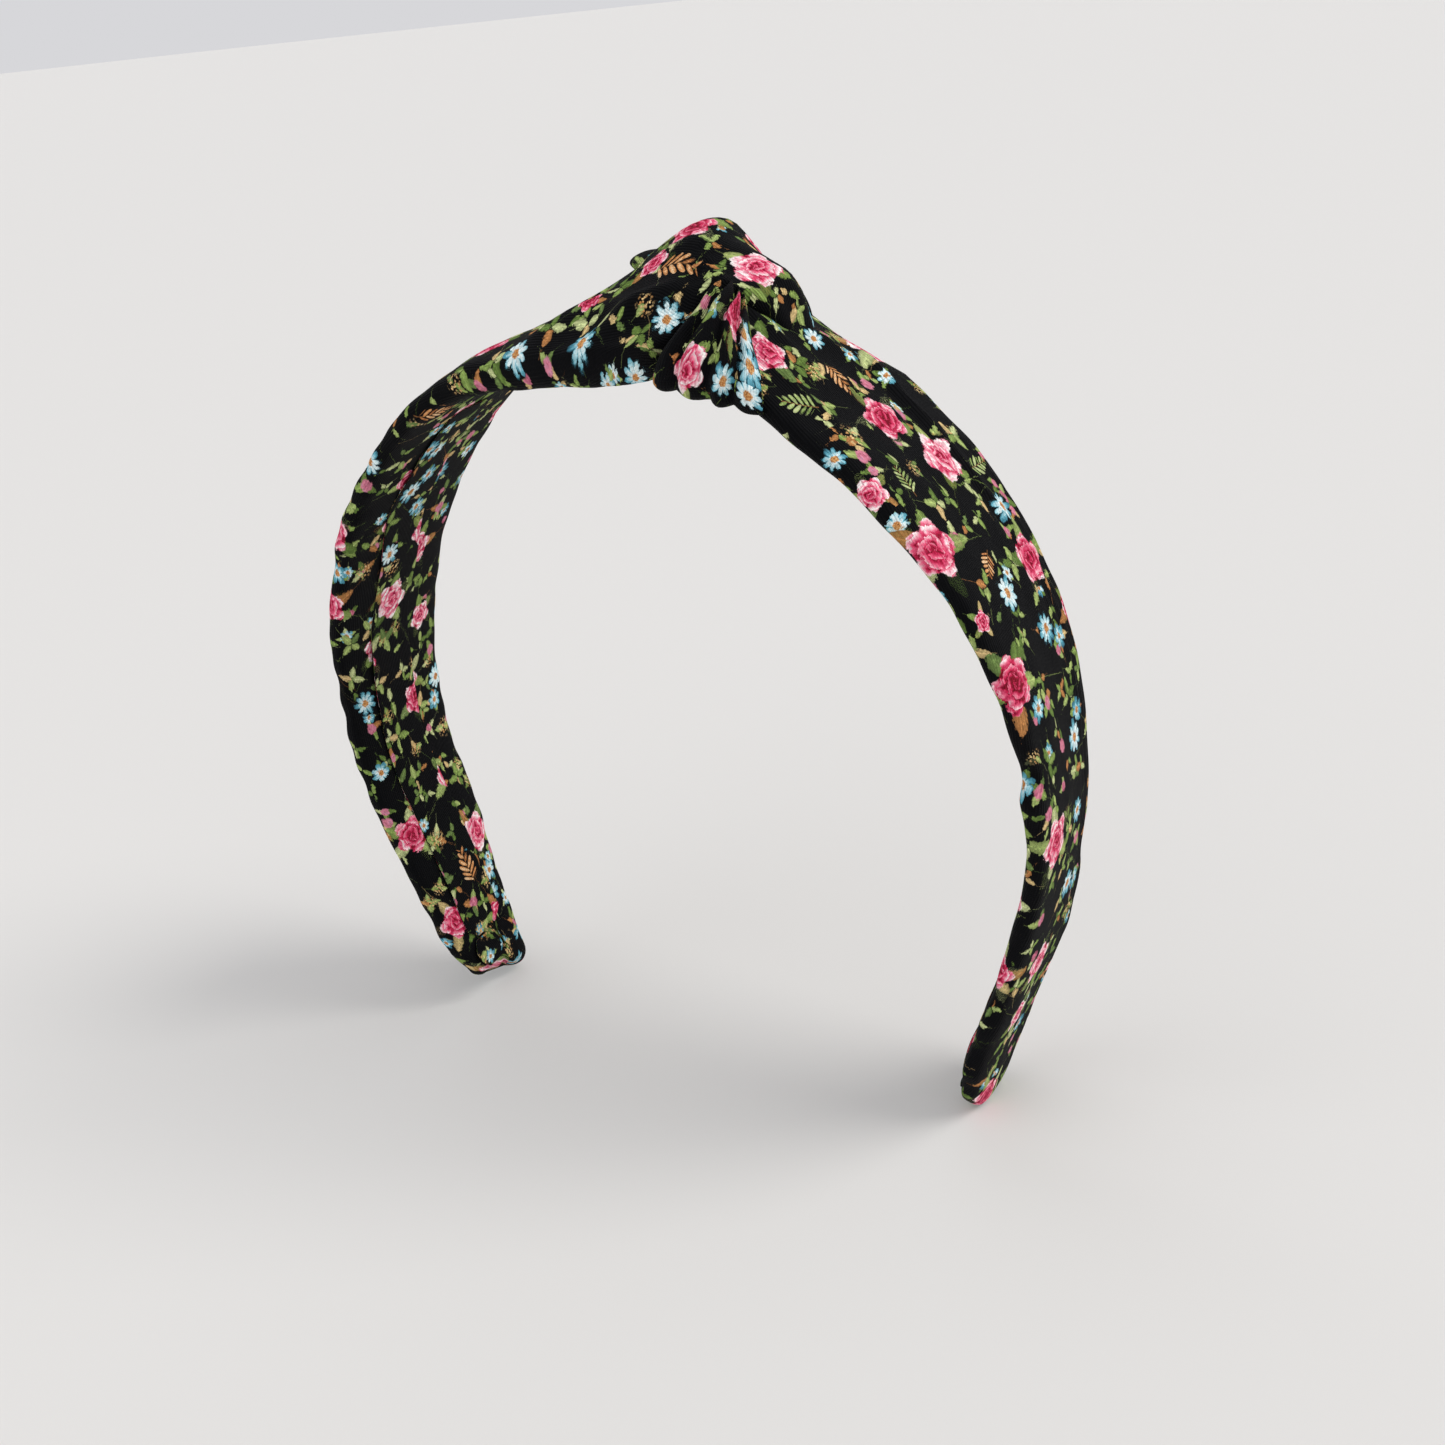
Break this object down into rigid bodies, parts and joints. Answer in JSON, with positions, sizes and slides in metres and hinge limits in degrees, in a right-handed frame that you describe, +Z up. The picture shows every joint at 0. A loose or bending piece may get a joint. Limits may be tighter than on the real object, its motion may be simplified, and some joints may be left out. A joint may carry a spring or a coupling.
{
  "type": "headband",
  "caption": "Springy U-shaped headband with a padded printed cloth cover tied in a raised knot on top; both arms flex outwards to go over a head.",
  "frame": {"origin": "middle of the head opening, halfway between the arms, at the level where they are widest apart", "axes": "+Z up through the knot, +X to the right arm, -Y to the forehead side"},
  "size_m": [0.1294, 0.0405, 0.1431],
  "materials": {
    "printed_cloth": "matte black woven cotton with a small floral print",
    "lining_cloth": "matte black woven cotton with a small floral print",
    "foam": "thin open-cell sponge",
    "glue": "hot-melt adhesive",
    "core_plastic": "moulded springy plastic"
  },
  "bodies": {
    "crown": {"band_core": "core_plastic", "crown_lining": "lining_cloth", "knot_glue_pad": "glue", "knot_left_strand": "printed_cloth", "knot_right_strand": "printed_cloth", "knot_top_loop": "printed_cloth", "knot_front_wrap": "printed_cloth", "knot_back_wrap": "printed_cloth", "knot_side_fold": "printed_cloth"},
    "left_arm": {"left_sleeve": "printed_cloth", "left_foam_strip": "foam", "left_glue_strip": "glue", "left_seam_flap": "printed_cloth", "left_tip_front_fold": "printed_cloth", "left_tip_back_fold": "printed_cloth"},
    "right_arm": {"right_sleeve": "printed_cloth", "right_foam_strip": "foam", "right_glue_strip": "glue", "right_seam_flap": "printed_cloth", "right_tip_fold": "printed_cloth"}
  },
  "joints": [
    {"name": "left_arm_flex", "type": "hinge", "parent": "crown", "child": "left_arm", "pos_m": [-0.03063, 0, 0.06144], "axis": [0, 1, 0], "range_deg": [-3, 14], "stiffness_Nm_per_rad": 0.9, "deforming": ["band_core"]},
    {"name": "right_arm_flex", "type": "hinge", "parent": "crown", "child": "right_arm", "pos_m": [0.03063, 0, 0.06144], "axis": [0, -1, 0], "range_deg": [-3, 14], "stiffness_Nm_per_rad": 0.9, "deforming": ["band_core"]}
  ]
}
